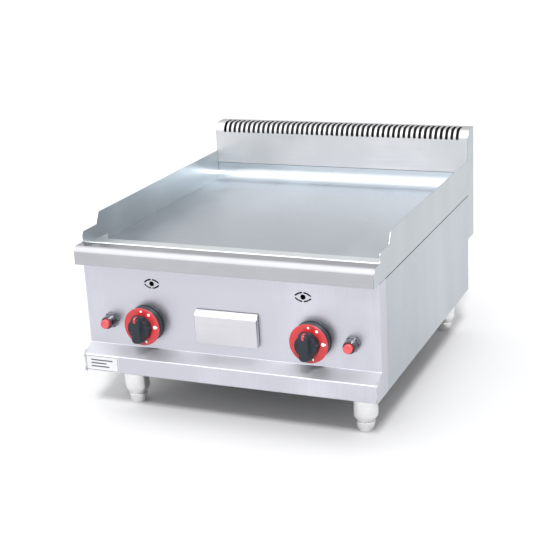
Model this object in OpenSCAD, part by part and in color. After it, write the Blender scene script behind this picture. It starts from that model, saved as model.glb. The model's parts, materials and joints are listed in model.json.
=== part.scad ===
/* [Casing] */
// Overall width across the side panels
body_w = 600; // [560:5:700]
// Height of the casing's lower edge above the worktop
case_z = 100; // [90:1:120]
// Height of the seam between the casing and the cooking top
seam_z = 316.8; // [312:0.1:322]
// Distance from the control panel's face to the casing's rear face
body_d = 622; // [600:1:660]
// Thickness of the stainless sheet
sheet_t = 1.2; // [1:0.1:1.5]
// Distance that the lower ledge and the top rail stand out of the control panel
overhang = 30; // [24:1:34]

/* [Cooking top] */
// Height of the cooking surface
plate_z = 330; // [329:1:332]
// Thickness of the cooking plate
plate_t = 12; // [10:1:12]
// Height of the rail's flat top
rail_z = 352.5; // [350:0.5:355]
// Height of the splash guards behind their step
guard_z = 394.5; // [388:0.5:404]
// Height of the splash guards in front of their step
guard_step_z = 372; // [370:1:376]

/* [Flue] */
// Height of the flue's top
flue_z = 460; // [450:1:500]
// Depth of the flue box behind the casing
flue_d = 48; // [44:1:60]
// Height of the flue box's lower edge
flue_low_z = 216; // [200:1:230]
// Number of vent slots
slot_n = 47; // [31:2:47]
// Distance between vent slots
slot_pitch = 12; // [9:0.5:12]
// Width of one vent slot
slot_w = 6.5; // [4:0.5:7]

/* [Controls] */
// Distance of each knob from the middle
knob_x = 170; // [165:1:175]
// Height of the knobs and the push buttons
control_z = 200; // [198:1:202]
// Radius of the knob's dial ring
dial_r = 37.5; // [34:0.5:39]
// Distance that a knob pushes in
knob_travel = 3; // [2:0.5:3]
// Distance of each igniter button from the middle
igniter_x = 247; // [244:1:250]
// Distance that an igniter button pushes in
button_travel = 5; // [4:0.5:5]
// Distance of each flame sight hole from the middle
sight_x = 154; // [150:1:156]
// Height of the flame sight holes
sight_z = 280; // [278:1:282]

/* [Grease drawer] */
// Width of the drawer's front
drawer_w = 128; // [124:1:134]
// Height of the drawer front's lower edge
drawer_z = 173; // [172:1:174]
// Height of the drawer's front
drawer_h = 67; // [64:1:68]
// Depth of the drawer's box behind the control panel
drawer_d = 330; // [250:5:340]

/* [Feet] */
// Distance of each foot from the side of the casing
foot_inset = 57; // [54:1:62]
// Distance of the front feet behind the control panel
foot_front_y = 66; // [60:1:72]
// Distance of the rear feet behind the control panel
foot_rear_y = 618; // [600:1:620]
// Radius of the foot's tube
foot_r = 25; // [22:0.5:26]

/* [Hidden] */

$fn = 64;
t = sheet_t;
hw = body_w / 2;
inner_x = hw - t;
flue_y = body_d + flue_d;
knob_front = 51;
// The part is drawn with Y = 0 on the control panel, then moved so that its box is centred
y_shift = -(flue_y - knob_front) / 2;

// Control panel
fold_z = case_z + 49;
ledge_z = case_z + 35;
panel_return = 36;
seam_gap = 1.5;
panel_top = seam_z - 0.5;
bottom_return = 20;
joint_gap = 0.6;
bend_r = 3;
inner_bend = 1.5;
drawer_gap = 1.5;

// Top rail
bullnose_r = 12;
rail_back = 3;

// Groove behind the rail, and the flat strip between the groove and the gutter
strip_y0 = 35;
strip_z = 344;
groove_z = 335;

// Grease gutter
gutter_y0 = 62;
gutter_y1 = 101;
gutter_z = 300;
drain_r = 17.5;
drain_y = (gutter_y0 + gutter_y1) / 2;

// Cooking plate
plate_y0 = 96;
upstand_y = 625;
upstand_t = 2;
upstand_z = 365.6;
cove_r = 28;

// Flue
roll_r = 20;
fold_y = upstand_y + 0.4;
fold_top_z = upstand_z + 0.4;
slot_low_z = 438;
slot_back = 41;
flue_port_w = 510;
flue_port_z0 = 246;
flue_port_z1 = 312;

// Burner chamber
shield_z = 238;
firewall_y = 105;
burner_z = 262;
burner_y0 = 170;
burner_y1 = 560;
burner_r = 16;
burner_arm = 60;
burner_t = 1.5;
throat_r = 11;
bell_y = 84;
bell_len = 18;
port_n = 24;
port_pitch = 14;
// Where the pilot tube, the ignition lead and the thermocouple lead pass beside each burner
pilot_dx = -22;
electrode_dx = -30;
thermo_dx = -38;
lead_dx = [pilot_dx, electrode_dx, thermo_dx];
lead_z = 246;
pilot_y = 130;

// Gas line
pipe_r = 10.6;
bore_wall = 2.6;
manifold_y = 60;
manifold_z = 148;
supply_x = 272;
inlet_r = 10.48;
inlet_y = 655;

// Valve
valve_r = 14;
valve_y0 = 22;
valve_y1 = 80;
spindle_r = 4;
spindle_fit = 0.05;
spindle_end = 40;

// Knob
knob_back = -6;
spindle_front = -30;
dial_y = -22;
dial_t = 2.2;
drum_taper = 1.5;
hub_r = 21.7;
hub_h = 16;
grip_len = 53;
grip_w = 18;
grip_base_w = 32;
grip_low = 8;
knob_hole_r = 9;

// Igniter
button_r = 8.8;
button_fit = 0.06;
button_face = -32;
barrel_front = -24;

// Drawer
drawer_proud = 12;
drawer_lip = 10;
box_hw = 58;
box_z0 = 177;
box_z1 = 232;

// Feet
neck_top = 33;
neck_z = 22;
neck_r = 19;
tip_r = 12.5;
stem_r = 8;
stem_top = 72;
foot_x = hw - foot_inset;
frame_z0 = case_z + t;
frame_h = 30;
frame_w = 50;
frame_wall = 2;

module place() {
    translate([0, y_shift, 0]) children();
}

// Extrudes a Y-Z outline from x0 to x1
module along_x(x0, x1) {
    translate([x0, 0, 0]) rotate([90, 0, 90]) linear_extrude(x1 - x0) children();
}

// A round bar along Y
module rod_y(x, z, y0, y1, r) {
    translate([x, y0, z]) rotate([-90, 0, 0]) cylinder(h = y1 - y0, r = r);
}

// A tapering round bar along Y
module taper_y(x, z, y0, y1, r0, r1) {
    translate([x, y0, z]) rotate([-90, 0, 0]) cylinder(h = y1 - y0, r1 = r0, r2 = r1);
}

// A round bar along X
module rod_x(y, z, x0, x1, r) {
    translate([x0, y, z]) rotate([0, 90, 0]) cylinder(h = x1 - x0, r = r);
}

// A round bar along Z
module rod_z(x, y, z0, z1, r) {
    translate([x, y, z0]) cylinder(h = z1 - z0, r = r);
}

// A box between two corners
module block(a, b) {
    translate(a) cube(b - a);
}

function unit(v) = v / norm(v);
function left_normal(v) = [-v[1], v[0]];
function side(p, i) = left_normal(unit(p[i + 1] - p[i]));
function offset_at(p, i, d) =
    i == 0 ? side(p, 0) * d
    : i == len(p) - 1 ? side(p, i - 1) * d
    : (side(p, i - 1) + side(p, i)) * d / (1 + side(p, i - 1) * side(p, i));

// The outline of a sheet bent along path p, d thick on the path's left
module bent_sheet(p, d) {
    polygon(concat(p, [for (i = [len(p) - 1 : -1 : 0]) p[i] + offset_at(p, i, d)]));
}

function turn(a, b) = (b - a + 540) % 360 - 180;
function corner(a, b, c, r, n) =
    let (
        u = unit(a - b),
        v = unit(c - b),
        half = acos(u * v) / 2,
        m = b + unit(u + v) * r / sin(half),
        p0 = b + u * r / tan(half) - m,
        p1 = b + v * r / tan(half) - m,
        a0 = atan2(p0[1], p0[0]),
        sweep = turn(a0, atan2(p1[1], p1[0]))
    )
    [for (k = [0 : n]) m + r * [cos(a0 + sweep * k / n), sin(a0 + sweep * k / n)]];

function xy(p) = [p[0], p[1]];
// The outline through [y, z, radius] points, with each corner rounded to its radius
function rounded(p) = [
    for (i = [0 : len(p) - 1])
        each p[i][2] == 0
            ? [xy(p[i])]
            : corner(xy(p[(i + len(p) - 1) % len(p)]), xy(p[i]), xy(p[(i + 1) % len(p)]), p[i][2], 10)
];

// The open path through [y, z, radius] points, with each inner point bent to its radius
function bent(p) = [
    for (i = [0 : len(p) - 1])
        each p[i][2] == 0
            ? [xy(p[i])]
            : corner(xy(p[i - 1]), xy(p[i]), xy(p[i + 1]), p[i][2], 8)
];

// A rectangle in X-Z with rounded corners, made plate-thick along Y
module round_plate(x0, x1, z0, z1, y0, y1, r) {
    translate([0, y1, 0]) rotate([90, 0, 0]) linear_extrude(y1 - y0)
        polygon(rounded([[x0, z0, r], [x1, z0, r], [x1, z1, r], [x0, z1, r]]));
}

module base_frame() {
    z1 = frame_z0 + frame_h;
    y_end = foot_rear_y + frame_w / 2;
    cross_y = [foot_front_y, foot_rear_y];
    color("silver") difference() {
        union() {
            for (s = [-1, 1]) {
                block(
                    [s * foot_x - frame_w / 2, 8, frame_z0],
                    [s * foot_x + frame_w / 2, y_end, z1]
                );
            }
            for (y = cross_y) {
                block([-foot_x, y - frame_w / 2, frame_z0], [foot_x, y + frame_w / 2, z1]);
            }
        }
        for (s = [-1, 1]) {
            block(
                [s * foot_x - frame_w / 2 + frame_wall, 7, frame_z0 + frame_wall],
                [s * foot_x + frame_w / 2 - frame_wall, y_end + 1, z1 - frame_wall]
            );
        }
        for (y = cross_y) {
            block(
                [-foot_x, y - frame_w / 2 + frame_wall, frame_z0 + frame_wall],
                [foot_x, y + frame_w / 2 - frame_wall, z1 - frame_wall]
            );
        }
    }
}

module side_panel(s) {
    flange = 15;
    z1 = seam_z - seam_gap;
    x0 = s > 0 ? inner_x : -hw;
    fx0 = s > 0 ? inner_x - flange : -inner_x;
    y0 = panel_return + joint_gap;
    color("lightsteelblue") {
        block([x0, y0, case_z], [x0 + t, body_d, z1]);
        block([fx0, y0, case_z], [fx0 + flange, body_d - 2 * t, case_z + t]);
        block([fx0, gutter_y1 + 6, z1 - t], [fx0 + flange, body_d - 2 * t, z1]);
    }
}

// An almond-shaped outline, w wide and h high
module almond(w, h) {
    r = (w * w + h * h) / (4 * h);
    intersection() {
        translate([0, r - h / 2]) circle(r);
        translate([0, h / 2 - r]) circle(r);
    }
}

// Four curved slots around a round peep hole
module sight_cut() {
    eye_w = 37;
    eye_h = 20;
    end_r = 16;
    slot = 3;
    inner_w = 30;
    bridge = 3;
    peep_r = 5;
    intersection() {
        difference() {
            almond(eye_w, eye_h);
            almond(inner_w, eye_h - 2 * slot);
            square([bridge, eye_h + 1], center = true);
            square([eye_w + 1, bridge], center = true);
        }
        circle(end_r);
    }
    circle(peep_r);
}

module front_panel() {
    folds = [
        [0, panel_top, 0], [0, fold_z, inner_bend], [-overhang, ledge_z, bend_r],
        [-overhang, case_z, bend_r]
    ];
    path = bent(concat(folds, [[bottom_return - overhang, case_z, 0]]));
    cheek = rounded(concat(folds, [[panel_return, case_z, 0], [panel_return, panel_top, 0]]));
    color("lavender") difference() {
        union() {
            along_x(-inner_x, inner_x) bent_sheet(path, t);
            along_x(-hw, -inner_x) polygon(cheek);
            along_x(inner_x, hw) polygon(cheek);
        }
        for (s = [-1, 1]) {
            rod_y(s * knob_x, control_z, -1, t + 1, knob_hole_r);
            rod_y(s * igniter_x, control_z, -1, t + 1, 10.3);
            translate([s * sight_x, t + 1, sight_z]) rotate([90, 0, 0])
                linear_extrude(t + 2) sight_cut();
        }
        block(
            [-box_hw - drawer_gap, -1, box_z0 - drawer_gap],
            [box_hw + drawer_gap, t + 1, box_z1 + drawer_gap]
        );
    }
}

module rear_panel() {
    color("lightsteelblue") difference() {
        block([-inner_x, body_d - t, frame_z0 + frame_h], [inner_x, body_d, plate_z - plate_t]);
        block(
            [-flue_port_w / 2, body_d - t - 1, flue_port_z0],
            [flue_port_w / 2, body_d + 1, flue_port_z1]
        );
        rod_y(supply_x, manifold_z, body_d - t - 1, body_d + 1, pipe_r + 0.4);
    }
}

// The rail's outline, drawn d inside its outer face
module rail_outline(d) {
    nose = rail_z - bullnose_r;
    translate([d - overhang, seam_z + d])
        square([overhang + rail_back - 2 * d, nose - seam_z - d]);
    translate([bullnose_r - overhang, nose - 1])
        square([overhang + rail_back - bullnose_r - d, bullnose_r + 1 - d]);
    translate([bullnose_r - overhang, nose]) circle(bullnose_r - d);
}

module top_rail() {
    color("white") along_x(-inner_x, inner_x) difference() {
        rail_outline(0);
        rail_outline(t);
    }
}

module grease_gutter() {
    trough = bent([
        [rail_back, groove_z - t, 0], [strip_y0, groove_z - t, inner_bend],
        [strip_y0, strip_z - t, inner_bend], [gutter_y0 - t, strip_z - t, inner_bend],
        [gutter_y0 - t, gutter_z, bend_r], [gutter_y1, gutter_z, bend_r],
        [gutter_y1, plate_z - plate_t, 0]
    ]);
    color("gainsboro") difference() {
        union() {
            along_x(-inner_x, inner_x) bent_sheet(trough, t);
            for (x = [-inner_x, inner_x - t]) {
                block([x, gutter_y0 - t, gutter_z], [x + t, gutter_y1, plate_z - plate_t]);
                block([x, gutter_y0 - t, gutter_z], [x + t, plate_y0, strip_z - t]);
            }
        }
        rod_z(0, drain_y, gutter_z - 1, gutter_z + t + 1, drain_r);
    }
}

module grease_chute() {
    chute_z = 241;
    color("gainsboro") difference() {
        rod_z(0, drain_y, chute_z, gutter_z, drain_r + t);
        rod_z(0, drain_y, chute_z - 1, gutter_z + 1, drain_r);
    }
}

module griddle_plate() {
    cove_y = upstand_y - upstand_t - cove_r;
    color("slategray") along_x(-inner_x, inner_x) {
        translate([plate_y0, plate_z - plate_t]) square([upstand_y - plate_y0, plate_t]);
        translate([upstand_y - upstand_t, plate_z]) square([upstand_t, upstand_z - plate_z]);
        difference() {
            translate([cove_y, plate_z]) square(cove_r);
            translate([cove_y, plate_z + cove_r]) circle(cove_r);
        }
    }
}

module splash_guard(s) {
    step_y = 58;
    front_y = 5;
    outline = [
        [-overhang, seam_z, 0], [-overhang, rail_z, bullnose_r], [front_y, rail_z, 7],
        [front_y, guard_step_z, 7.5], [step_y, guard_step_z, 3], [step_y + 12, guard_z, 9],
        [body_d, guard_z, 0], [body_d, seam_z, 0]
    ];
    x0 = s > 0 ? inner_x : -hw;
    color("lightslategray") along_x(x0, x0 + t) polygon(rounded(outline));
}

module flue_cover() {
    slot_x0 = -slot_pitch * (slot_n - 1) / 2;
    color("whitesmoke") difference() {
        along_x(-inner_x, inner_x) {
            bent_sheet(bent([
                [body_d, flue_z - roll_r, 0], [body_d, fold_top_z, inner_bend],
                [fold_y, fold_top_z, 0]
            ]), t);
            translate([body_d + roll_r, flue_z - t]) square([flue_d - roll_r - t, t]);
            translate([body_d + roll_r, flue_z - roll_r]) intersection() {
                difference() {
                    circle(roll_r);
                    circle(roll_r - t);
                }
                translate([-roll_r, 0]) square(roll_r);
            }
        }
        for (k = [0 : slot_n - 1]) {
            x = slot_x0 + k * slot_pitch;
            block(
                [x - slot_w / 2, body_d - 1, slot_low_z + slot_w / 2],
                [x + slot_w / 2, body_d + slot_back, flue_z + 1]
            );
            rod_y(x, slot_low_z + slot_w / 2, body_d - 1, body_d + t + 1, slot_w / 2);
        }
    }
}

module flue_back() {
    color("lightsteelblue") {
        block([-inner_x, flue_y - t, flue_low_z], [inner_x, flue_y, flue_z]);
        block([-inner_x, body_d, flue_low_z], [inner_x, flue_y - t, flue_low_z + t]);
    }
}

module flue_end(s) {
    x0 = s > 0 ? inner_x : -hw;
    color("lightslategray") along_x(x0, x0 + t) polygon(rounded([
        [body_d, flue_low_z, 0], [body_d, flue_z, roll_r], [flue_y, flue_z, 0],
        [flue_y, flue_low_z, 0]
    ]));
}

module badge_plate() {
    badge_t = 0.8;
    color("white")
        round_plate(2 - hw, 75 - hw, case_z + 1.5, ledge_z - 1.5,
            -overhang - badge_t, -overhang, 2);
}

module heat_shield() {
    vent_n = 5;
    vent_pitch = 22;
    color("dimgray") difference() {
        block([-inner_x, 100, shield_z], [inner_x, body_d - t, shield_z + t]);
        for (s = [-1, 1]) {
            for (k = [0 : vent_n - 1]) {
                x = s * knob_x + (k - (vent_n - 1) / 2) * vent_pitch;
                block([x - 4, 240, shield_z - 1], [x + 4, 500, shield_z + t + 1]);
            }
        }
    }
}

module firewall() {
    color("dimgray") difference() {
        block(
            [-inner_x, firewall_y, shield_z + t],
            [inner_x, firewall_y + t, seam_z - seam_gap - t]
        );
        for (s = [-1, 1]) {
            rod_y(s * knob_x, burner_z, firewall_y - 1, firewall_y + t + 1, throat_r + 0.4);
            rod_y(s * sight_x, sight_z + 4, firewall_y - 1, firewall_y + t + 1, 8);
            for (dx = lead_dx) {
                rod_y(s * (knob_x + dx), lead_z, firewall_y - 1, firewall_y + t + 1, 2.6);
            }
        }
    }
}

module burner_tubes(x, r, inset) {
    for (dx = [-burner_arm, burner_arm]) {
        rod_y(x + dx, burner_z, burner_y0, burner_y1 - inset, r);
        translate([x + dx, burner_y0, burner_z]) sphere(r);
    }
    rod_x(burner_y0, burner_z, x - burner_arm, x + burner_arm, r);
}

module burner(x) {
    window_w = 14;
    color("darkgray") difference() {
        union() {
            burner_tubes(x, burner_r, 0);
            rod_y(x, burner_z, bell_y, burner_y0, throat_r);
            rod_y(x, burner_z, bell_y, bell_y + bell_len, burner_r);
        }
        burner_tubes(x, burner_r - burner_t, burner_t);
        rod_y(x, burner_z, bell_y - 1, burner_y0, throat_r - burner_t);
        taper_y(x, burner_z, bell_y - 1, bell_y + bell_len - 2, burner_r - burner_t, throat_r - burner_t);
        block(
            [x - burner_r - 1, bell_y + 4, burner_z - window_w / 2],
            [x + burner_r + 1, bell_y + bell_len - 5, burner_z + window_w / 2]
        );
        for (dx = [-burner_arm, burner_arm]) {
            for (k = [0 : port_n - 1]) {
                y = burner_y0 + 40 + k * port_pitch;
                block(
                    [x + dx - 9, y, burner_z + 11],
                    [x + dx + 9, y + 1.4, burner_z + burner_r + 1]
                );
            }
        }
    }
}

module air_shutter(x) {
    gap = 0.3;
    window_w = 14;
    color("goldenrod") difference() {
        rod_y(x, burner_z, bell_y + 1, bell_y + bell_len - 2, burner_r + gap + t);
        rod_y(x, burner_z, bell_y, bell_y + bell_len, burner_r + gap);
        block(
            [x - burner_r - 5, bell_y + 5, burner_z - window_w / 2],
            [x + burner_r + 5, bell_y + bell_len - 6, burner_z + window_w / 2]
        );
    }
}

module gas_manifold() {
    color("gray") difference() {
        union() {
            rod_x(manifold_y, manifold_z, -215, supply_x, pipe_r);
            rod_x(manifold_y, manifold_z, -218, -200, pipe_r + 3);
            translate([supply_x, manifold_y, manifold_z]) sphere(pipe_r);
        }
        rod_x(manifold_y, manifold_z, -205, supply_x - pipe_r, pipe_r - bore_wall);
    }
}

module supply_pipe() {
    start = manifold_y + pipe_r + 0.4;
    color("gray") difference() {
        union() {
            rod_y(supply_x, manifold_z, start, body_d - 12, pipe_r);
            rod_y(supply_x, manifold_z, body_d - 12, inlet_y, inlet_r);
            translate([supply_x, body_d + 5, manifold_z]) rotate([90, 0, 0])
                cylinder(h = 4.5, r = 17, $fn = 6);
        }
        rod_y(supply_x, manifold_z, start + 4, inlet_y + 1, pipe_r - bore_wall);
    }
}

module gas_valve(x) {
    saddle_z = manifold_z + pipe_r;
    color("goldenrod") difference() {
        union() {
            rod_y(x, control_z, valve_y0, valve_y1, valve_r);
            rod_y(x, control_z, valve_y0 + 12, valve_y0 + 24, valve_r + 3);
            rod_z(x, manifold_y, saddle_z, control_z, 9);
            translate([x, manifold_y, saddle_z]) cylinder(h = 10, r = 13, $fn = 6);
            rod_z(x, 50, control_z, control_z + valve_r + 6, 7);
        }
        rod_y(x, control_z, valve_y0 - 1, spindle_end + knob_travel + 1, spindle_r + spindle_fit);
    }
}

module gas_tube(x) {
    y = 50;
    tube_r = 4;
    z0 = control_z + valve_r + 6;
    color("peru") {
        rod_z(x, y, z0, burner_z, tube_r);
        translate([x, y, burner_z]) sphere(tube_r);
        rod_y(x, burner_z, y, 66, tube_r);
        translate([x, 66, burner_z]) rotate([-90, 0, 0]) cylinder(h = 9, r = 7, $fn = 6);
        taper_y(x, burner_z, 75, 81, 5, 2.5);
    }
}

module pilot(x, s) {
    px = x + s * pilot_dx;
    bend_y = 70;
    low_z = control_z + 2;
    side_x = x - s * valve_r;
    plate_x = x - s * 23;
    tube_r = 2;
    color("silver") {
        block(
            [plate_x - 9, pilot_y + 5, shield_z + t],
            [plate_x + 9, pilot_y + 5 + t, 276]
        );
        block([px - 4, pilot_y, 262], [px + 4, pilot_y + 5, 268]);
        rod_z(px, pilot_y, lead_z, 284, 4);
        rod_z(px, pilot_y, 284, 287, 5.5);
        translate([px, pilot_y, lead_z]) sphere(4);
        rod_y(px, lead_z, bend_y, pilot_y, tube_r);
        rod_z(px, bend_y, low_z, lead_z, tube_r);
        rod_x(bend_y, low_z, min(px, side_x), max(px, side_x), tube_r);
        for (z = [low_z, lead_z]) {
            translate([px, bend_y, z]) sphere(tube_r);
        }
    }
}

module electrode(x, s) {
    ex = x + s * electrode_dx;
    ix = s * igniter_x;
    back_y = 95;
    low_z = 230;
    lead_r = 1.5;
    ceramic_r = 3.4;
    color("ivory") {
        rod_z(ex, pilot_y, lead_z, 274, ceramic_r);
        rod_z(ex, pilot_y, 274, 283, 0.9);
        translate([ex, pilot_y, lead_z]) sphere(ceramic_r);
        rod_y(ex, lead_z, back_y, pilot_y, lead_r);
        rod_z(ex, back_y, low_z, lead_z, lead_r);
        rod_x(back_y, low_z, min(ex, ix), max(ex, ix), lead_r);
        rod_z(ix, back_y, control_z, low_z, lead_r);
        rod_y(ix, control_z, 58, back_y, lead_r);
        for (p = [[ex, lead_z], [ex, low_z], [ix, low_z], [ix, control_z]]) {
            translate([p[0], back_y, p[1]]) sphere(lead_r);
        }
    }
}

module thermocouple(x, s) {
    tx = x + s * thermo_dx;
    end_x = x - s * 8;
    bend_y = 88;
    lead_r = 1.2;
    probe_r = 2.4;
    color("peru") {
        rod_z(tx, pilot_y, lead_z, 286, probe_r);
        translate([tx, pilot_y, lead_z]) sphere(probe_r);
        rod_y(tx, lead_z, bend_y, pilot_y, lead_r);
        rod_z(tx, bend_y, control_z, lead_z, lead_r);
        rod_x(bend_y, control_z, min(tx, end_x), max(tx, end_x), lead_r);
        rod_y(end_x, control_z, valve_y1, bend_y, lead_r);
        for (p = [[tx, lead_z], [tx, control_z], [end_x, control_z]]) {
            translate([p[0], bend_y, p[1]]) sphere(lead_r);
        }
    }
}

module igniter_barrel(x) {
    bore_r = button_r + button_fit;
    color("black") difference() {
        union() {
            translate([x, 0, control_z]) rotate([90, 0, 0]) cylinder(h = 9, r = 15.5, $fn = 6);
            rod_y(x, control_z, -18, -9, 13.2);
            rod_y(x, control_z, barrel_front, -18, 11.6);
            rod_y(x, control_z, 0, 52, 10);
            rod_y(x, control_z, t, t + 6, 14);
            rod_y(x, control_z, 52, 58, 4);
        }
        rod_y(x, control_z, barrel_front - 1, -4, bore_r);
        rod_y(x, control_z, -5, 24, 3.3);
    }
}

module igniter_button(x) {
    tip = 2;
    color("crimson") {
        taper_y(x, control_z, button_face, button_face + tip, button_r - tip / 2, button_r);
        rod_y(x, control_z, button_face + tip, -12, button_r);
        rod_y(x, control_z, -12, 16, 3);
    }
}

module knob_bezel(x) {
    color("black") difference() {
        rod_y(x, control_z, -2.5, 0, dial_r - 1);
        rod_y(x, control_z, -3, 1, knob_hole_r);
    }
}

module push_collar(x) {
    color("gold") difference() {
        rod_y(x, control_z, 10, 14, 8);
        rod_y(x, control_z, 9, 15, spindle_r + spindle_fit);
    }
}

module valve_spindle(x) {
    color("gold") rod_y(x, control_z, spindle_front, spindle_end, spindle_r);
}

module knob(x) {
    dial_face = dial_y - dial_t;
    grip_y = dial_face - grip_low;
    grip_max_w = 27;
    color("black") difference() {
        union() {
            taper_y(x, control_z, dial_y, knob_back, dial_r, dial_r - drum_taper);
            rod_y(x, control_z, dial_face - hub_h, dial_y, hub_r);
            rod_y(x, control_z, knob_back, knob_back + 2, 8);
            intersection() {
                translate([x, 0, control_z - grip_len / 2]) linear_extrude(grip_len)
                    polygon([
                        [-grip_base_w / 2, grip_y], [grip_base_w / 2, grip_y],
                        [grip_w / 2, -knob_front], [-grip_w / 2, -knob_front]
                    ]);
                round_plate(x - grip_max_w / 2, x + grip_max_w / 2, control_z - grip_len / 2,
                    control_z + grip_len / 2, -knob_front - 1, grip_y + 1, 7);
            }
        }
        rod_y(x, control_z, spindle_front, knob_back + 3, spindle_r);
    }
}

module dial_ring(x) {
    bevel = 1;
    color("red") difference() {
        union() {
            rod_y(x, control_z, dial_y - dial_t + bevel, dial_y, dial_r);
            taper_y(x, control_z, dial_y - dial_t, dial_y - dial_t + bevel, dial_r - bevel, dial_r);
        }
        rod_y(x, control_z, dial_y - dial_t - 1, dial_y + 1, hub_r);
    }
}

// The hollow drawer front's Y-Z outline, drawn d inside its outer face
module drawer_outline(d) {
    lip_z = drawer_z + drawer_h - drawer_lip;
    slope = atan2(drawer_lip, drawer_proud - 1);
    dy = d;
    dz = d * (1 - sin(slope)) / cos(slope);
    y_back = -0.4 + (d > 0 ? 1 : 0);
    rise = (y_back + drawer_proud) * tan(slope) - d / cos(slope);
    polygon([
        [dy - drawer_proud, drawer_z + d],
        [dy - drawer_proud, lip_z - dz],
        [y_back, lip_z + rise],
        [y_back, drawer_z + d]
    ]);
}

module drawer_front() {
    x1 = drawer_w / 2;
    color("gainsboro") difference() {
        along_x(-x1, x1) drawer_outline(0);
        along_x(t - x1, x1 - t) drawer_outline(t);
    }
}

module drawer_box() {
    color("gainsboro") difference() {
        block([-box_hw, -0.4, box_z0], [box_hw, drawer_d, box_z1]);
        block([t - box_hw, t - 0.4, box_z0 + t], [box_hw - t, drawer_d - t, box_z1 + 1]);
    }
}

module drawer_runners() {
    gap = 0.4;
    shelf = 12;
    x0 = box_hw + gap;
    color("silver") {
        for (s = [-1, 1]) {
            mirror([s < 0 ? 1 : 0, 0, 0]) {
                block([x0, t, box_z0 - gap - t], [x0 + t, drawer_d + 10, shield_z]);
                block(
                    [x0 - shelf, t, box_z0 - gap - t],
                    [x0, drawer_d + 10, box_z0 - gap]
                );
            }
        }
    }
}

module foot_tube(x, y) {
    bush_top = 50;
    wall = 2.5;
    color("silver") difference() {
        union() {
            rod_z(x, y, neck_top, frame_z0, foot_r);
            translate([x, y, neck_z]) cylinder(h = neck_top - neck_z, r1 = neck_r, r2 = foot_r);
        }
        rod_z(x, y, bush_top, frame_z0 - 3, foot_r - wall);
        rod_z(x, y, neck_z - 1, bush_top + 1, stem_r + spindle_fit);
    }
}

module foot_screw(x, y) {
    gap = 0.3;
    color("silver") {
        rod_z(x, y, neck_z - gap, stem_top, stem_r);
        translate([x, y, 0]) rotate_extrude() polygon(concat(
            [[0, 0]],
            [[tip_r, 0], [tip_r + 2.6, 2.6], [neck_r - 1, 11], [neck_r, 16]],
            [[neck_r, neck_z - gap], [0, neck_z - gap]]
        ));
    }
}

module rear_screws() {
    color("silver") {
        for (x = [-280, -140, 0, 140]) {
            for (z = [frame_z0 + frame_h + 12, flue_low_z - 14]) {
                rod_y(x, z, body_d, body_d + 2.2, 4.5);
            }
        }
    }
}

place() base_frame();
place() side_panel(-1);  // side_panel_left
place() side_panel(1);  // side_panel_right
place() front_panel();
place() rear_panel();
place() top_rail();
place() grease_gutter();
place() grease_chute();
place() griddle_plate();
place() splash_guard(-1);  // splash_guard_left
place() splash_guard(1);  // splash_guard_right
place() flue_cover();
place() flue_back();
place() flue_end(-1);  // flue_end_left
place() flue_end(1);  // flue_end_right
place() badge_plate();
place() heat_shield();
place() firewall();
place() burner(-knob_x);  // burner_left
place() burner(knob_x);  // burner_right
place() air_shutter(-knob_x);  // air_shutter_left
place() air_shutter(knob_x);  // air_shutter_right
place() gas_manifold();
place() supply_pipe();
place() gas_valve(-knob_x);  // gas_valve_left
place() gas_valve(knob_x);  // gas_valve_right
place() gas_tube(-knob_x);  // gas_tube_left
place() gas_tube(knob_x);  // gas_tube_right
place() pilot(-knob_x, -1);  // pilot_left
place() pilot(knob_x, 1);  // pilot_right
place() electrode(-knob_x, -1);  // electrode_left
place() electrode(knob_x, 1);  // electrode_right
place() thermocouple(-knob_x, -1);  // thermocouple_left
place() thermocouple(knob_x, 1);  // thermocouple_right
place() igniter_barrel(-igniter_x);  // igniter_barrel_left
place() igniter_barrel(igniter_x);  // igniter_barrel_right
place() igniter_button(-igniter_x);  // igniter_button_left
place() igniter_button(igniter_x);  // igniter_button_right
place() knob_bezel(-knob_x);  // knob_bezel_left
place() knob_bezel(knob_x);  // knob_bezel_right
place() push_collar(-knob_x);  // push_collar_left
place() push_collar(knob_x);  // push_collar_right
place() valve_spindle(-knob_x);  // valve_spindle_left
place() valve_spindle(knob_x);  // valve_spindle_right
place() knob(-knob_x);  // knob_left
place() knob(knob_x);  // knob_right
place() dial_ring(-knob_x);  // dial_ring_left
place() dial_ring(knob_x);  // dial_ring_right
place() drawer_front();
place() drawer_box();
place() drawer_runners();
place() foot_tube(-foot_x, foot_front_y);  // foot_tube_front_left
place() foot_tube(foot_x, foot_front_y);  // foot_tube_front_right
place() foot_tube(-foot_x, foot_rear_y);  // foot_tube_rear_left
place() foot_tube(foot_x, foot_rear_y);  // foot_tube_rear_right
place() foot_screw(-foot_x, foot_front_y);  // foot_screw_front_left
place() foot_screw(foot_x, foot_front_y);  // foot_screw_front_right
place() foot_screw(-foot_x, foot_rear_y);  // foot_screw_rear_left
place() foot_screw(foot_x, foot_rear_y);  // foot_screw_rear_right
place() rear_screws();
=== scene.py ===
"""Counter-top gas griddle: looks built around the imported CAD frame."""
import json
import math
import bmesh
import bpy
from mathutils import Matrix, Vector


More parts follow.
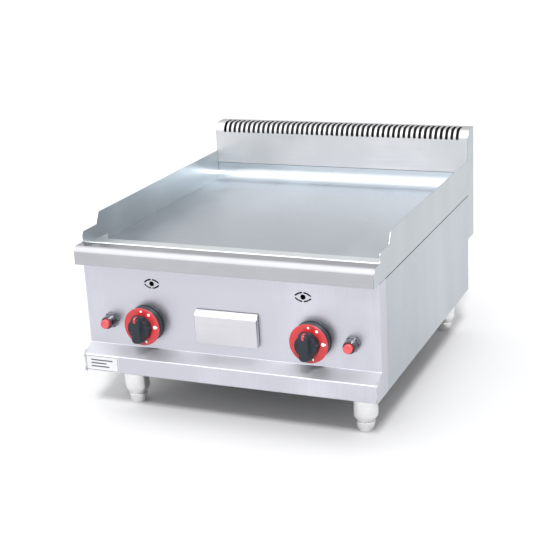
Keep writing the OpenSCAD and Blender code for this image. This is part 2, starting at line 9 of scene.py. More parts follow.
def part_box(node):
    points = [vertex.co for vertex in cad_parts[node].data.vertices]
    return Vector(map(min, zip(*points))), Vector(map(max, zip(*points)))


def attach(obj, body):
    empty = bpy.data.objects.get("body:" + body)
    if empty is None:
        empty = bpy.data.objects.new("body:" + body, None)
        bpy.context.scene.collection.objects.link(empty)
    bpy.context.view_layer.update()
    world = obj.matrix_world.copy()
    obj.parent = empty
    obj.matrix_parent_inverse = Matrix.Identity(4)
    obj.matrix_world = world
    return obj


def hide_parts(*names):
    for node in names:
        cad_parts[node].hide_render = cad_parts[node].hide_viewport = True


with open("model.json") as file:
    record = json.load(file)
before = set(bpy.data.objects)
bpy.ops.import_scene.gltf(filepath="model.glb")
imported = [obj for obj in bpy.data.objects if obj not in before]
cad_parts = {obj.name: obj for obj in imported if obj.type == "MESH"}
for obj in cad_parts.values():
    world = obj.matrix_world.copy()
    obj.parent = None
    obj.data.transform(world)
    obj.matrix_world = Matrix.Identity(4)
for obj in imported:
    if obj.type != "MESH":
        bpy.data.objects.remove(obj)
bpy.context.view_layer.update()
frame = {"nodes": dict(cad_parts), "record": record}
nodes = frame["nodes"]
record = frame["record"]
scene = bpy.context.scene
MM = 0.001
SIDES = ("left", "right")
CORNERS = ("front_left", "front_right", "rear_left", "rear_right")
SLOT_OF = {s["node"]: s["material_slot"] for s in record["subparts"]}


# ---------------------------------------------------------------- material tools
def start_material(name):
    mat = bpy.data.materials.new(name)
    mat.use_nodes = True
    tree = mat.node_tree
    tree.nodes.clear()
    out = tree.nodes.new("ShaderNodeOutputMaterial")
    bsdf = tree.nodes.new("ShaderNodeBsdfPrincipled")
    tree.links.new(bsdf.outputs[0], out.inputs[0])
    return mat, tree, bsdf


def noise(tree, scale, stretch=(1, 1, 1), detail=3.0, rough=0.5, seed=0.0):
    """Noise in object coordinates (metres), drawn out along the axes with a small stretch."""
    coord = tree.nodes.new("ShaderNodeTexCoord")
    mapping = tree.nodes.new("ShaderNodeMapping")
    mapping.inputs["Scale"].default_value = stretch
    mapping.inputs["Location"].default_value = (seed, seed * 0.7, seed * 1.3)
    tex = tree.nodes.new("ShaderNodeTexNoise")
    tex.inputs["Scale"].default_value = scale
    tex.inputs["Detail"].default_value = detail
    tex.inputs["Roughness"].default_value = rough
    tree.links.new(coord.outputs["Object"], mapping.inputs[0])
    tree.links.new(mapping.outputs[0], tex.inputs["Vector"])
    return tex.outputs["Fac"]


def span(tree, value, low, high, start=0.3, end=0.7):
    """Maps a value from start..end to low..high."""
    node = tree.nodes.new("ShaderNodeMapRange")
    node.inputs["From Min"].default_value = start
    node.inputs["From Max"].default_value = end
    node.inputs["To Min"].default_value = low
    node.inputs["To Max"].default_value = high
    tree.links.new(value, node.inputs["Value"])
    return node.outputs["Result"]


def math_node(tree, operation, a, b):
    node = tree.nodes.new("ShaderNodeMath")
    node.operation = operation
    for socket, value in zip(node.inputs, (a, b)):
        if isinstance(value, (int, float)):
            socket.default_value = value
        else:
            tree.links.new(value, socket)
    return node.outputs[0]


def tint(tree, value, dark, light, start=0.3, end=0.7):
    """A colour between dark and light."""
    ramp = tree.nodes.new("ShaderNodeValToRGB")
    ramp.color_ramp.elements[0].color = (*dark, 1)
    ramp.color_ramp.elements[0].position = start
    ramp.color_ramp.elements[1].color = (*light, 1)
    ramp.color_ramp.elements[1].position = end
    tree.links.new(value, ramp.inputs[0])
    return ramp.outputs[0]


def bump(tree, bsdf, height, strength, distance):
    node = tree.nodes.new("ShaderNodeBump")
    node.inputs["Strength"].default_value = strength
    node.inputs["Distance"].default_value = distance
    tree.links.new(height, node.inputs["Height"])
    tree.links.new(node.outputs[0], bsdf.inputs["Normal"])


def shade(color, factor):
    return tuple(min(1.0, c * factor) for c in color)


# Stretch that draws the brushing out along one axis
GRAIN = {"x": (0.012, 1, 1), "y": (1, 0.012, 1), "z": (1, 1, 0.012)}
# Stretch that draws broad soft bands out along one axis
BANDS = {"x": (0.15, 1, 1), "y": (1, 0.15, 1), "z": (1, 1, 0.15)}
# Heights in millimetres of the brushing's two grains, at a grain of 1
FINE_HEIGHT = 0.04
SCRATCH_HEIGHT = 0.06


def brushed(name, color, rough, axis, bands="z", band=0.05, grain=0.10, wave=0.0):
    """Brushed stainless: fine grain along one axis, broad soft bands, smudges, and a slight
    waviness of the sheet, wave millimetres high."""
    mat, tree, bsdf = start_material(name)
    fine = noise(tree, 1500.0, GRAIN[axis], 2.0, 0.6)
    scratch = noise(tree, 420.0, GRAIN[axis], 3.0, 0.7, 2.0)
    smudge = noise(tree, 16.0, (1, 1, 1), 4.0, 0.6, 3.0)
    broad = noise(tree, 7.0, BANDS[bands], 1.5, 0.5, 5.0)
    soft = span(tree, smudge, -0.015, 0.015)
    tone = math_node(tree, "ADD", span(tree, broad, -band, band), soft)
    tone = math_node(tree, "ADD", tone, span(tree, scratch, -0.02, 0.02, 0.25, 0.75))
    tree.links.new(
        tint(tree, tone, shade(color, 0.88), shade(color, 1.12), -0.12, 0.12),
        bsdf.inputs["Base Color"],
    )
    dull = span(tree, scratch, rough - 0.03, rough + 0.03)
    gloss = math_node(tree, "ADD", span(tree, smudge, -0.03, 0.04), dull)
    tree.links.new(gloss, bsdf.inputs["Roughness"])
    bsdf.inputs["Metallic"].default_value = 1.0
    fine_height = math_node(tree, "MULTIPLY", fine, FINE_HEIGHT * grain)
    scratch_height = math_node(tree, "MULTIPLY", scratch, SCRATCH_HEIGHT * grain)
    height = math_node(tree, "ADD", fine_height, scratch_height)
    if wave:
        roll = noise(tree, 5.0, (1, 1, 1), 1.0, 0.4, 8.0)
        height = math_node(tree, "ADD", height, math_node(tree, "MULTIPLY", roll, wave))
    bump(tree, bsdf, height, 1.0, 0.001)
    return mat


def polished(name, color, rough, ring_axis="z"):
    """Turned and polished metal with faint rings and fingerprints."""
    mat, tree, bsdf = start_material(name)
    stretch = {"z": (0.02, 0.02, 1), "y": (0.02, 1, 0.02)}[ring_axis]
    ring = noise(tree, 900.0, stretch, 2.0, 0.6)
    smudge = noise(tree, 70.0, (1, 1, 1), 4.0, 0.6, 2.0)
    tree.links.new(tint(tree, smudge, shade(color, 0.94), shade(color, 1.03)), bsdf.inputs["Base Color"])
    tree.links.new(span(tree, smudge, rough - 0.03, rough + 0.07), bsdf.inputs["Roughness"])
    bsdf.inputs["Metallic"].default_value = 1.0
    bump(tree, bsdf, ring, 0.5, 0.00003)
    return mat


def plastic(name, color, rough, grain=500.0, coat=0.0, spread=0.10, specular=0.5):
    """Moulded plastic with a fine eggshell grain and slight wear."""
    mat, tree, bsdf = start_material(name)
    fine = noise(tree, grain, (1, 1, 1), 3.0, 0.6)
    patch = noise(tree, 45.0, (1, 1, 1), 3.0, 0.6, 5.0)
    tree.links.new(
        tint(tree, patch, shade(color, 1 - spread), shade(color, 1 + spread)), bsdf.inputs["Base Color"]
    )
    tree.links.new(span(tree, patch, rough - 0.04, rough + 0.07), bsdf.inputs["Roughness"])
    bsdf.inputs["Coat Weight"].default_value = coat
    bsdf.inputs["Specular IOR Level"].default_value = specular
    bsdf.inputs["Coat Roughness"].default_value = 0.1
    bump(tree, bsdf, fine, 0.12, 0.0002)
    return mat


def hot_metal(name, color, heat_and_shade, rough, metallic=0.9):
    """Steel dulled and tinted by heating or soot; the seam, the spacer, the chamber steel and the flue's
    inside also take it as dark painted shade.
    """
    mat, tree, bsdf = start_material(name)
    cloud = noise(tree, 22.0, (1, 1, 1), 5.0, 0.65)
    fine = noise(tree, 300.0, (1, 1, 1), 3.0, 0.6, 4.0)
    tree.links.new(tint(tree, cloud, heat_and_shade, color), bsdf.inputs["Base Color"])
    tree.links.new(span(tree, fine, rough - 0.1, rough + 0.12), bsdf.inputs["Roughness"])
    bsdf.inputs["Metallic"].default_value = metallic
    bump(tree, bsdf, fine, 0.2, 0.0003)
    return mat


def soft_metal(name, color, rough):
    """Cast or drawn brass and copper with dull patches."""
    mat, tree, bsdf = start_material(name)
    patch = noise(tree, 70.0, (1, 1, 1), 4.0, 0.65)
    fine = noise(tree, 700.0, (1, 1, 1), 2.0, 0.5, 6.0)
    tree.links.new(tint(tree, patch, shade(color, 0.7), color), bsdf.inputs["Base Color"])
    tree.links.new(span(tree, patch, rough + 0.12, rough - 0.05), bsdf.inputs["Roughness"])
    bsdf.inputs["Metallic"].default_value = 1.0
    bump(tree, bsdf, fine, 0.1, 0.0002)
    return mat


MATS = {
    "sheet_front": brushed("sheet_front", (0.60, 0.605, 0.66), 0.36, "z", "z", 0.05, 0.08, 0.05),
    "sheet_side": brushed("sheet_side", (0.50, 0.54, 0.57), 0.34, "y", "z", 0.06, 0.08, 0.12),
    "sheet_guard": brushed("sheet_guard", (0.50, 0.54, 0.56), 0.32, "y", "z", 0.05, 0.08, 0.06),
    "sheet_rail": brushed("sheet_rail", (0.50, 0.505, 0.525), 0.22, "x", "x", 0.02, 0.05),
    "sheet_flue": brushed("sheet_flue", (0.60, 0.60, 0.605), 0.40, "x", "z", 0.03, 0.05),
    "ledge": brushed("ledge", (0.54, 0.545, 0.57), 0.55, "x", "x", 0.02, 0.05),
    "sheet_back": brushed("sheet_back", (0.50, 0.52, 0.54), 0.38, "z", "z", 0.05, 0.10, 0.08),
    "griddle_steel": brushed("griddle_steel", (0.55, 0.59, 0.625), 0.32, "y", "y", 0.03, 0.015),
    # The gutter steel is made much lighter than the plate's steel: painted highlight for the gutter
    # strip's bright reflection
    "gutter_steel": brushed("gutter_steel", (0.84, 0.87, 0.88), 0.36, "x", "x", 0.02, 0.02),
    "badge": brushed("badge", (0.85, 0.85, 0.87), 0.40, "x", "x", 0.02, 0.05),
    # The chamber steel is darkened past its heat tint as painted shade for the casing's inside, seen
    # through the slots
    "chamber_steel": hot_metal("chamber_steel", (0.20, 0.195, 0.19), (0.09, 0.085, 0.08), 0.5),
    "burner_steel": hot_metal("burner_steel", (0.42, 0.38, 0.34), (0.16, 0.13, 0.13), 0.5),
    "pipe_steel": hot_metal("pipe_steel", (0.34, 0.35, 0.36), (0.26, 0.27, 0.28), 0.45),
    # Painted shade: near-black on the side panels' top faces, in the gap under the guards
    "seam": hot_metal("seam", (0.10, 0.105, 0.11), (0.07, 0.07, 0.075), 0.6),
    # Dark grey painted shade for the gap round the drawer front's pan
    "spacer": hot_metal("spacer", (0.24, 0.24, 0.25), (0.18, 0.18, 0.19), 0.5),
    # Near-black painted shade for the inside and undersides of the flue, over its soot
    "soot_and_shade": hot_metal("soot_and_shade", (0.030, 0.029, 0.028), (0.012, 0.011, 0.011), 0.8, 0.0),
    "brass": soft_metal("brass", (0.80, 0.60, 0.28), 0.28),
    "copper": soft_metal("copper", (0.86, 0.46, 0.28), 0.28),
    "ceramic": plastic("ceramic", (0.85, 0.82, 0.76), 0.35, 400.0, 0.3),
    "black_plastic": plastic("black_plastic", (0.012, 0.016, 0.021), 0.42, 500.0, 0.0, 0.10, 0.28),
    "black_gloss": plastic("black_gloss", (0.010, 0.012, 0.016), 0.14, 500.0, 0.6),
    "red_ring": plastic("red_ring", (0.36, 0.016, 0.020), 0.36, 600.0, 0.30),
    "red_button": plastic("red_button", (0.42, 0.050, 0.055), 0.34, 600.0, 0.25),
    "white_mark": plastic("white_mark", (0.90, 0.86, 0.84), 0.4, 500.0, 0.0, 0.03),
    "enamel": plastic("enamel", (0.05, 0.055, 0.065), 0.3, 700.0, 0.2),
    "drawer_steel": brushed("drawer_steel", (0.66, 0.655, 0.685), 0.34, "x", "x", 0.02, 0.06, 0.02),
    "foot_steel": polished("foot_steel", (0.82, 0.82, 0.815), 0.15),
    "screw_steel": polished("screw_steel", (0.70, 0.70, 0.71), 0.2, "y"),
}

for node_name, obj in nodes.items():
    obj.data.materials.clear()
    obj.data.materials.append(MATS[SLOT_OF[node_name]])
    for poly in obj.data.polygons:
        poly.use_smooth = False


# ---------------------------------------------------------------- mesh tools
def body_of(node):
    return next(b for b, members in record["behaviour"]["bodies"].items() if node in members)


def add_piece(name, bm, body, slot, replaces=(), sharp=30, material=None):
    """Turns a bmesh into a piece that rides on a body and takes a slot's material."""
    bmesh.ops.remove_doubles(bm, verts=bm.verts, dist=1e-7)
    bmesh.ops.recalc_face_normals(bm, faces=bm.faces)
    limit = math.radians(sharp)
    for face in bm.faces:
        face.smooth = True
    for edge in bm.edges:
        edge.smooth = len(edge.link_faces) == 2 and edge.calc_face_angle(math.pi) < limit
    mesh = bpy.data.meshes.new(name)
    bm.to_mesh(mesh)
    bm.free()
    obj = bpy.data.objects.new(name, mesh)
    scene.collection.objects.link(obj)
    mesh.materials.append(MATS[material or slot])
    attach(obj, body)
    if replaces:
        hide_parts(*replaces)
    return obj


def refine(node, width, angle=24, sharp=40):
    """A copy of a CAD node with its edges broken by a small bevel, width millimetres wide."""
    bm = bmesh.new()
    bm.from_mesh(nodes[node].data)
    bmesh.ops.remove_doubles(bm, verts=bm.verts, dist=2e-6)
    bmesh.ops.dissolve_limit(
        bm, angle_limit=math.radians(0.6), verts=bm.verts, edges=bm.edges, delimit={"NORMAL"}
    )
    limit = math.radians(angle)
    edges = [e for e in bm.edges if len(e.link_faces) == 2 and e.calc_face_angle(0) > limit]
    bmesh.ops.bevel(bm, geom=edges, offset=width * MM, segments=2, profile=0.5,
                    affect="EDGES", clamp_overlap=False)
    obj = add_piece(node + "_shell", bm, body_of(node), SLOT_OF[node], (node,), sharp)
    weighted = obj.modifiers.new("weighted", "WEIGHTED_NORMAL")
    weighted.keep_sharp = True
    return obj


def arc(cx, cy, r, a0, a1, n=6):
    """Points on a circle from angle a0 to a1, in degrees."""
    return [(cx + r * math.cos(math.radians(a0 + (a1 - a0) * k / n)),
             cy + r * math.sin(math.radians(a0 + (a1 - a0) * k / n))) for k in range(n + 1)]


def skin(bm, rings, closed=False):
    """Joins rings of points with faces. A ring of one point is a pole; closed joins the last
    ring to the first."""
    loops = [[bm.verts.new(p) for p in ring] for ring in rings]
    pairs = list(zip(loops, loops[1:]))
    if closed:
        pairs.append((loops[-1], loops[0]))
    for a, b in pairs:
        count = max(len(a), len(b))
        for k in range(count):
            n = (k + 1) % count
            if len(a) == 1 and len(b) == 1:
                continue
            if len(a) == 1:
                bm.faces.new((a[0], b[k], b[n]))
            elif len(b) == 1:
                bm.faces.new((a[k], a[n], b[0]))
            else:
                bm.faces.new((a[k], a[n], b[n], b[k]))
    return loops


def circle(radius, steps=72):
    return [(radius * math.cos(2 * math.pi * k / steps), radius * math.sin(2 * math.pi * k / steps))
            for k in range(steps)]


def hexagon(radius, limit, steps=72):
    """A hexagon with the given corner radius, cut off by a circle of radius limit."""
    points = []
    for k in range(steps):
        a = 2 * math.pi * k / steps
        inner = math.radians(30)
        r = radius * math.cos(inner) / math.cos((a % math.radians(60)) - inner)
        r = min(r, limit)
        points.append((r * math.cos(a), r * math.sin(a)))
    return points


def rounded_rect(hw, hh, r, n=6):
    """A rectangle's outline with rounded corners, half-width hw and half-height hh."""
    points = []
    corners = ((hw - r, hh - r, 0), (r - hw, hh - r, 90), (r - hw, r - hh, 180),
               (hw - r, r - hh, 270))
    for cx, cy, a in corners:
        points += arc(cx, cy, r, a, a + 90, n)
    return points


def on_front(place, outline, y):
    """Puts an X-Z outline in millimetres at distance y from place along Y."""
    return [Vector(place) + Vector((u * MM, y * MM, v * MM)) for u, v in outline]


def on_floor(place, outline, z):
    return [Vector(place) + Vector((u * MM, v * MM, z * MM)) for u, v in outline]


def lathe(bm, profile, place, axis="y", closed=False):
    """Turns a profile of (radius, distance along the axis) points round an axis through place."""
    put = on_front if axis == "y" else on_floor
    rings = [put(place, circle(r) if r > 1e-6 else [(0, 0)], d) for r, d in profile]
    skin(bm, rings, closed)


def fill(bm, ring):
    bm.faces.new([bm.verts.new(p) for p in ring])


def plate(bm, place, outline, y_back, y_front):
    """A flat plate with an X-Z outline, between two distances along Y."""
    loops = skin(bm, [on_front(place, outline, y_back), on_front(place, outline, y_front)])
    bm.faces.new(loops[0])
    bm.faces.new(loops[1])


def control_place(node):
    """The point on the control panel's face that a knob's or a button's axis passes through."""
    low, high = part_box(node)
    face_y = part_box("knob_bezel_left")[1].y
    return Vector(((low.x + high.x) / 2, face_y, (low.z + high.z) / 2))


# ---------------------------------------------------------------- sheet metal
SHEETS = ("front_panel", "side_panel_left", "side_panel_right", "rear_panel", "top_rail",
          "grease_gutter", "splash_guard_left", "splash_guard_right", "flue_cover", "flue_back",
          "flue_end_left", "flue_end_right", "griddle_plate", "base_frame", "drawer_box")
# Widths in millimetres of the broken edges
EDGE_BEVEL = 0.35
GUARD_BEVEL = 0.5
shells = {node: refine(node, GUARD_BEVEL if "guard" in node else EDGE_BEVEL) for node in SHEETS}


def coat(node, material, chosen):
    """Gives the faces whose direction is chosen a material of their own."""
    mesh = shells[node].data
    mesh.materials.append(MATS[material])
    for poly in mesh.polygons:
        if chosen(poly.normal):
            poly.material_index = 1


# Painted shade, over some soot, darkens the flue's inside and undersides; the ledge is rubbed dull; and
# painted shade darkens the side panels' tops in the gap under the guards
coat("flue_cover", "soot_and_shade", lambda n: n.y > 0.3 or n.z < -0.5)
coat("flue_back", "soot_and_shade", lambda n: n.y < -0.5)
coat("flue_end_left", "soot_and_shade", lambda n: n.x > 0.5)
coat("flue_end_right", "soot_and_shade", lambda n: n.x < -0.5)
coat("front_panel", "ledge", lambda n: n.z > 0.8)
coat("side_panel_left", "seam", lambda n: n.z > 0.9)
coat("side_panel_right", "seam", lambda n: n.z > 0.9)


# ---------------------------------------------------------------- knobs
def teardrop(w, h, n=28):
    """A flame's outline, w wide and h high, with its tip up."""
    points = []
    for k in range(n):
        a = 2 * math.pi * k / n
        points.append((0.65 * w * math.sin(a) * math.sin(a / 2) ** 1.5, 0.5 * h * math.cos(a)))
    return points


def star(r, n=8):
    return [(r * (1.0 if k % 2 == 0 else 0.55) * math.sin(math.pi * k / n),
             r * (1.0 if k % 2 == 0 else 0.55) * math.cos(math.pi * k / n)) for k in range(2 * n)]


def turned(outline, angle, radius):
    """Moves an outline out to a radius and turns it clockwise from the top by an angle."""
    a = math.radians(angle)
    return [(x * math.cos(a) + (y + radius) * math.sin(a), (y + radius) * math.cos(a) - x * math.sin(a))
            for x, y in outline]


# Grip levels: distance in front of the panel, half-width, half-length
GRIP = ((31.6, 12.2, 25.2), (32.4, 13.2, 26.2), (39.6, 13.1, 26.4), (40.6, 12.4, 26.4),
        (41.8, 11.5, 26.3), (43.4, 10.7, 26.1), (45.6, 10.0, 25.8), (48.4, 9.4, 25.3),
        (49.6, 9.0, 24.9), (50.3, 8.3, 24.2), (50.6, 7.2, 23.2))


def make_knob(side):
    body = body_of(f"knob_{side}")
    place = control_place(f"dial_ring_{side}")
    low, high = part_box(f"dial_ring_{side}")
    ring_r = (high.x - low.x) / 2 / MM
    face = (low.y - place.y) / MM
    back = (high.y - place.y) / MM
    drum_back = -6.0
    hub_depth = 16.0
    hub_front = face - hub_depth
    bore = 22.0

    bm = bmesh.new()
    lathe(bm, [(0, drum_back + 2), (8, drum_back + 2), (8, drum_back), (ring_r - 2.1, drum_back),
               (ring_r - 1.5, drum_back - 0.6), (ring_r - 0.5, back + 1.6), (ring_r - 0.9, back + 0.5),
               (bore + 0.8, back + 0.3), (bore - 0.2, face), (bore - 0.4, hub_front + 1.6)]
          + arc(bore - 1.9, hub_front + 1.5, 1.5, 0, -90, 4) + [(0, hub_front)], place)
    end_r = 7.0
    rings = [on_front(place, rounded_rect(hw, hl, min(end_r, hw - 0.5)), -d) for d, hw, hl in GRIP]
    loops = skin(bm, rings)
    bm.faces.new(loops[0])
    bm.faces.new(loops[-1])
    add_piece(f"knob_{side}_body", bm, body, "black_plastic", (f"knob_{side}",), 32)

    bm = bmesh.new()
    lathe(bm, [(bore, back), (bore, face + 0.5), (bore + 0.5, face), (ring_r - 1.4, face + 0.1)]
          + arc(ring_r - 1.2, face + 1.3, 1.2, -75, 0, 4)
          + [(ring_r - 0.1, back - 0.2), (ring_r - 0.5, back)], place, closed=True)
    add_piece(f"dial_ring_{side}_body", bm, body, "red_ring", (f"dial_ring_{side}",), 32)

    # White marks: a dot for off, a star for the pilot, a high flame and a low flame
    bm = bmesh.new()
    lift = 0.12
    sunk = 0.15
    marks = [turned(circle(2.0, 20), 2, 31.2), turned(star(3.4), 34, 30.6),
             turned(teardrop(7.4, 9.6), 87, 30.0), turned(teardrop(4.4, 5.8), 165, 31.0)]
    for outline in marks:
        plate(bm, place, outline, face + sunk, face - lift)
    add_piece(f"dial_marks_{side}", bm, body, "red_ring", (), 30, "white_mark")

    # The red pointer lies on the grip's face and runs over its top end
    front = -GRIP[-1][0]
    top = GRIP[2][2]
    path = [(front, 16.5), (front, top - 3.6), (front + 0.5, top - 2.2), (front + 2.0, top - 0.9),
            (front + 6.5, top - 0.2), (hub_front - 0.2, top)]
    bm = bmesh.new()
    outer = [Vector((y - 0.3, z + (0.3 if i > 2 else 0.1))) for i, (y, z) in enumerate(path)]
    inner = [Vector((y + 0.8, z - (0.8 if i > 1 else 0))) for i, (y, z) in enumerate(path)]
    half, flat = 2.3, 1.9
    rails = []
    for u in (-half, -flat, flat, half):
        drop = 0.2 if abs(u) > flat else 0.0
        rails.append([place + Vector((u, p.x + drop, p.y - drop)) * MM for p in outer])
    low_rails = [[place + Vector((u, p.x, p.y)) * MM for p in inner] for u in (half, -half)]
    section = rails + low_rails
    for k in range(len(path) - 1):
        for i, a in enumerate(section):
            b = section[(i + 1) % len(section)]
            bm.faces.new([bm.verts.new(p) for p in (a[k], b[k], b[k + 1], a[k + 1])])
    for k in (0, len(path) - 1):
        fill(bm, [rail[k] for rail in section])
    add_piece(f"knob_pointer_{side}", bm, body, "red_ring", (), 35)


# ---------------------------------------------------------------- igniters
def make_igniter(side):
    place = control_place(f"igniter_barrel_{side}")
    bm = bmesh.new()
    rings = [(15.2, 15.2, 0.0), (15.5, 15.5, -0.5), (15.5, 15.5, -7.2), (15.5, 14.8, -8.1),
             (15.5, 13.7, -8.9), (13.2, 13.2, -9.0)]
    skin(bm, [on_front(place, hexagon(r, limit), y) for r, limit, y in rings])
    # The barrel narrows a little towards its rounded front edge
    lathe(bm, [(13.2, -9.0), (13.1, -13.0), (12.7, -18.0), (12.1, -22.2)]
          + arc(10.3, -22.2, 1.8, 0, -90, 5)
          + [(9.6, -24.0), (8.9, -23.4), (8.9, -4.0), (0, -4.0)], place)
    lathe(bm, [(0, 0.0), (10.2, 0.0), (10.2, 1.0), (10.0, 8.0)], place)
    lathe(bm, [(10.0, 7.2), (10.0, 51.0), (9.0, 52.0), (4.0, 52.0), (4.0, 57.4), (3.5, 58.0),
               (0, 58.0)], place)
    nut = [(13.4, 1.3), (14.0, 2.0), (14.0, 6.5), (13.4, 7.2)]
    skin(bm, [on_front(place, hexagon(14.0, r), y) for r, y in nut])
    barrel = f"igniter_barrel_{side}"
    add_piece(barrel + "_body", bm, body_of(barrel), "black_plastic", (barrel,), 28, "black_gloss")
    bm = bmesh.new()
    lathe(bm, [(0, 16), (3, 16), (3, -12), (8.7, -12), (8.8, -12.3), (8.8, -30.2)]
          + arc(7.3, -30.5, 1.5, 0, -80, 5)
          + [(6.4, -31.7), (4.4, -31.2), (2.2, -30.95), (0, -30.9)], place)
    button = f"igniter_button_{side}"
    add_piece(button + "_body", bm, body_of(button), "red_button", (button,), 40)


def make_bezel(side):
    place = control_place(f"knob_bezel_{side}")
    low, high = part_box(f"knob_bezel_{side}")
    r = (high.x - low.x) / 2 / MM
    bm = bmesh.new()
    lathe(bm, [(9, 0), (9, -2.1), (9.4, -2.5), (r - 3.0, -2.5)]
          + arc(r - 1.6, -0.9, 1.6, -90, 0, 5) + [(r, 0)], place, closed=True)
    bezel = f"knob_bezel_{side}"
    add_piece(bezel + "_body", bm, body_of(bezel), "black_plastic", (bezel,), 32)


# ---------------------------------------------------------------- feet
def thread(r, depth, start, end, pitch):
    """A ridged profile between two distances along the axis."""
    points = []
    count = int((end - start) / pitch)
    for k in range(count):
        d = start + k * pitch
        points += [(r - depth, d), (r, d + pitch * 0.35), (r, d + pitch * 0.5),
                   (r - depth, d + pitch * 0.85)]
    return points


def make_foot(corner):
    tube, screw = f"foot_tube_{corner}", f"foot_screw_{corner}"
    low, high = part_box(tube)
    place = Vector(((low.x + high.x) / 2, (low.y + high.y) / 2, 0))
    r = (high.x - low.x) / 2 / MM
    neck = low.z / MM
    top = high.z / MM
    bm = bmesh.new()
    lathe(bm, [(0, neck + 53), (8.3, neck + 53), (8.3, neck + 0.6), (8.9, neck), (17.6, neck)]
          + arc(17.6, neck + 1.6, 1.6, -90, -35, 4)
          + [(20.4, neck + 3.6), (22.8, neck + 7.4), (24.3, neck + 10.3)]
          + arc(r - 4, neck + 12.8, 4, -22, 0, 4)
          + [(r, top - 0.4), (r - 0.4, top), (0, top)], place, "z")
    add_piece(tube + "_body", bm, body_of(tube), "foot_steel", (tube,), 30)
    gap = 0.3
    bm = bmesh.new()
    lathe(bm, [(0, 0), (11.6, 0)] + arc(11.6, 1.4, 1.4, -90, -30, 4)
          + [(14.6, 3.4), (16.3, 7.2), (17.6, 11.2), (18.5, 15.2), (18.95, 18.6)]
          + arc(18.2, neck - gap - 0.8, 0.8, 0, 90, 4) + [(8.0, neck - gap)]
          + thread(8.0, 0.6, neck - gap + 0.5, neck + 48, 1.5)
          + [(7.2, neck + 49), (0, neck + 50)], place, "z")
    add_piece(screw + "_body", bm, body_of(screw), "foot_steel", (screw,), 30)


# ---------------------------------------------------------------- badge, drawer, fasteners, inlet
def make_badge():
    """A plain plate with a thin dark border and three bars."""
    low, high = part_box("badge_plate")
    hw, hh = (high.x - low.x) / 2 / MM, (high.z - low.z) / 2 / MM
    place = Vector(((low.x + high.x) / 2, high.y, (low.z + high.z) / 2))
    body = body_of("badge_plate")
    bm = bmesh.new()
    levels = ((0.0, 0.0), (0.0, -0.35), (0.3, -0.6))
    loops = skin(bm, [on_front(place, rounded_rect(hw - inset, hh - inset, 2.0), y)
                      for inset, y in levels])
    bm.faces.new(loops[0])
    bm.faces.new(loops[-1])
    add_piece("badge_plate_body", bm, body, "badge", ("badge_plate",), 30)
    bm = bmesh.new()
    rim_back, rim_front = -0.5, -0.72
    rim = ((1.2, rim_back), (1.3, rim_front), (2.1, rim_front), (2.2, rim_back))
    skin(bm, [on_front(place, rounded_rect(hw - inset, hh - inset, 1.5), y) for inset, y in rim],
         closed=True)
    bar_x0 = -24
    for z, w in ((6.5, 48), (0, 34), (-6.5, 40)):
        bar = [(bar_x0 + w / 2 + u, z + v) for u, v in rounded_rect(w / 2, 1.3, 1.2)]
        plate(bm, place, bar, rim_back, rim_front)
    add_piece("badge_border", bm, body, "badge", (), 30, "enamel")


def make_drawer_front():
    """A folded pan with rounded lower corners and a sloping lip, standing just off the panel."""
    low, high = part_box("drawer_front")
    place = Vector((0, high.y, low.z))
    hw = high.x / MM
    height = (high.z - low.z) / MM
    depth = (high.y - low.y) / MM
    lip = 10.5
    low_r, top_r = 6.0, 1.0
    rear = -1.8  # The pan's back edge stands this far off the panel
    body = body_of("drawer_front")

    def outline(inset, top):
        r = low_r - inset
        w = hw - inset
        return (arc(r - w, inset + r, r, 180, 270, 6) + arc(w - r, inset + r, r, 270, 360, 6)
                + arc(w - top_r, top - top_r, top_r, 0, 90, 3)
                + arc(top_r - w, top - top_r, top_r, 90, 180, 3))

    # Distance along Y, inset from the pan's edge, and height of the top
    levels = ((rear, 0.0, height - 1.5), (rear - 0.6, 0.0, height - 1.6),
              (1.6 - depth, 0.3, height - lip + 1.2), (0.6 - depth, 0.9, height - lip),
              (0.15 - depth, 1.5, height - lip - 0.9), (-depth, 2.4, height - lip - 2.0))
    bm = bmesh.new()
    loops = skin(bm, [on_front(place, outline(inset, top), y) for y, inset, top in levels])
    bm.faces.new(loops[0])
    bm.faces.new(loops[-1])
    add_piece("drawer_front_pan", bm, body, "drawer_steel", ("drawer_front",), 35)
    # The spacer behind the pan, dark grey as painted shade for the gap round the pan
    bm = bmesh.new()
    inset = 2.2
    spacer_place = place + Vector((0, 0, height / 2 * MM))
    spacer = rounded_rect(hw - inset, height / 2 - inset - 1, 2.0)
    plate(bm, spacer_place, spacer, rear - 0.3, 0.0)
    add_piece("drawer_front_spacer", bm, body, "drawer_steel", (), 30, "spacer")


def make_rear_screws():
    """Button-head screws with a hexagon socket."""
    low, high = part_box("rear_screws")
    radius = 4.5
    bm = bmesh.new()
    columns = 4
    left, right = low.x + radius * MM, high.x - radius * MM
    for k in range(columns):
        for z in (low.z + radius * MM, high.z - radius * MM):
            place = Vector((left + (right - left) * k / (columns - 1), low.y, z))
            lathe(bm, [(0, 0.0), (radius, 0.0), (radius, 0.4)]
                  + arc(1.9, -1.3, 3.5, 42, 78, 6) + [(2.4, 2.2)], place)
            skin(bm, [on_front(place, circle(2.4), 2.2), on_front(place, hexagon(1.9, 3), 2.1),
                      on_front(place, hexagon(1.8, 3), 0.9), on_front(place, [(0, 0)], 0.9)])
    add_piece("rear_screw_heads", bm, body_of("rear_screws"), "screw_steel", ("rear_screws",), 30)


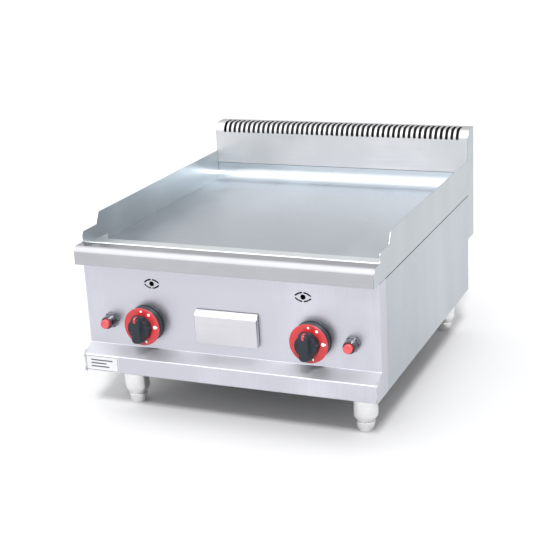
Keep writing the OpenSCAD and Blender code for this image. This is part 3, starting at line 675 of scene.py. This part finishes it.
def make_supply_pipe():
    """The gas supply pipe, with a threaded end behind its hexagon."""
    low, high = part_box("supply_pipe")
    place = Vector(((low.x + high.x) / 2, low.y, (low.z + high.z) / 2))
    length = (high.y - low.y) / MM
    hex_to_end, hex_t = 32.5, 4.5
    hex_y0 = length - hex_to_end
    hex_y1 = hex_y0 + hex_t
    bm = bmesh.new()
    lathe(bm, [(0, 0), (10.2, 0), (10.6, 0.4), (10.6, hex_y0 - 11.0), (10.48, hex_y0 - 10.5),
               (10.48, hex_y0)], place)
    lathe(bm, [(10.3, hex_y1)] + thread(10.45, 0.85, hex_y1 + 0.6, length - 1.0, 1.81)
          + [(9.4, length - 0.2), (9.0, length), (8.0, length), (8.0, length - 26),
             (0, length - 26)], place)
    rings = [(10.4, 10.4, hex_y0), (17.0, 15.0, hex_y0 + 0.05), (17.0, 16.9, hex_y0 + 0.9),
             (17.0, 16.9, hex_y1 - 0.9), (17.0, 15.0, hex_y1 - 0.05), (10.4, 10.4, hex_y1)]
    skin(bm, [on_front(place, hexagon(r, limit), y) for r, limit, y in rings])
    add_piece("supply_pipe_body", bm, body_of("supply_pipe"), "pipe_steel", ("supply_pipe",), 28)


for side in SIDES:
    make_knob(side)
    make_bezel(side)
    make_igniter(side)
for corner in CORNERS:
    make_foot(corner)
make_badge()
make_drawer_front()
make_rear_screws()
make_supply_pipe()


# ---------------------------------------------------------------- stage and light
def make_floor():
    bm = bmesh.new()
    bmesh.ops.create_grid(bm, x_segments=8, y_segments=8, size=14.0)
    mesh = bpy.data.meshes.new("floor")
    bm.to_mesh(mesh)
    bm.free()
    floor = bpy.data.objects.new("floor", mesh)
    scene.collection.objects.link(floor)
    mat, tree, bsdf = start_material("floor")
    patch = noise(tree, 0.6, (1, 1, 1), 2.0)
    tree.links.new(tint(tree, patch, (0.47, 0.47, 0.473), (0.49, 0.49, 0.493)), bsdf.inputs["Base Color"])
    bsdf.inputs["Roughness"].default_value = 0.8
    bsdf.inputs["Specular IOR Level"].default_value = 0.2
    mesh.materials.append(mat)


def make_world():
    """A studio dome, brightest above the front and dimmest low behind."""
    world = bpy.data.worlds.new("studio")
    scene.world = world
    world.use_nodes = True
    tree = world.node_tree
    coord = tree.nodes.new("ShaderNodeTexCoord")
    dot = tree.nodes.new("ShaderNodeVectorMath")
    dot.operation = "DOT_PRODUCT"
    dot.inputs[1].default_value = Vector((-0.15, -0.55, 0.82)).normalized()
    tree.links.new(coord.outputs["Generated"], dot.inputs[0])
    ramp = tree.nodes.new("ShaderNodeValToRGB")
    tree.links.new(span(tree, dot.outputs["Value"], 0.0, 1.0, -1.0, 1.0), ramp.inputs[0])
    # Position from straight behind and below (0) to straight above the front (1), and level
    stops = ((0.30, 0.22), (0.37, 0.31), (0.50, 0.38), (0.70, 0.56), (0.86, 0.88), (1.0, 1.0))
    elements = ramp.color_ramp.elements
    while len(elements) < len(stops):
        elements.new(0.5)
    for element, (position, level) in zip(elements, stops):
        element.position = position
        element.color = (level, level, level * 1.02, 1)
    background = tree.nodes["Background"]
    tree.links.new(ramp.outputs[0], background.inputs["Color"])
    background.inputs["Strength"].default_value = 2.2


def make_sun():
    """A broad soft key light from above the front, a little to the right."""
    light = bpy.data.lights.new("key", "SUN")
    light.energy = 3.3
    light.angle = math.radians(9)
    obj = bpy.data.objects.new("key", light)
    scene.collection.objects.link(obj)
    toward = Vector((0.244, -0.628, 0.739))
    obj.rotation_euler = toward.to_track_quat("Z", "Y").to_euler()


def make_camera():
    """The camera stands right of the front, above the object, and is tilted by a few degrees."""
    yaw, pitch, roll = (math.radians(a) for a in (23.54, 18.10, -3.06))
    flat = math.cos(pitch)
    forward = Vector((-math.sin(yaw) * flat, math.cos(yaw) * flat, -math.sin(pitch)))
    level = Vector((math.cos(yaw), math.sin(yaw), 0))
    up0 = level.cross(forward)
    right = level * math.cos(roll) + up0 * math.sin(roll)
    up = right.cross(forward)
    camera = bpy.data.cameras.new("camera")
    camera.sensor_width = 36.0
    camera.lens = 81.34
    camera.clip_end = 60
    obj = bpy.data.objects.new("camera", camera)
    scene.collection.objects.link(obj)
    matrix = Matrix((right, up, -forward)).transposed().to_4x4()
    matrix.translation = Vector((0.9541, -2.2662, 1.0155))
    obj.matrix_world = matrix
    scene.camera = obj


make_floor()
make_world()
make_camera()
make_sun()
scene.view_settings.view_transform = "Standard"
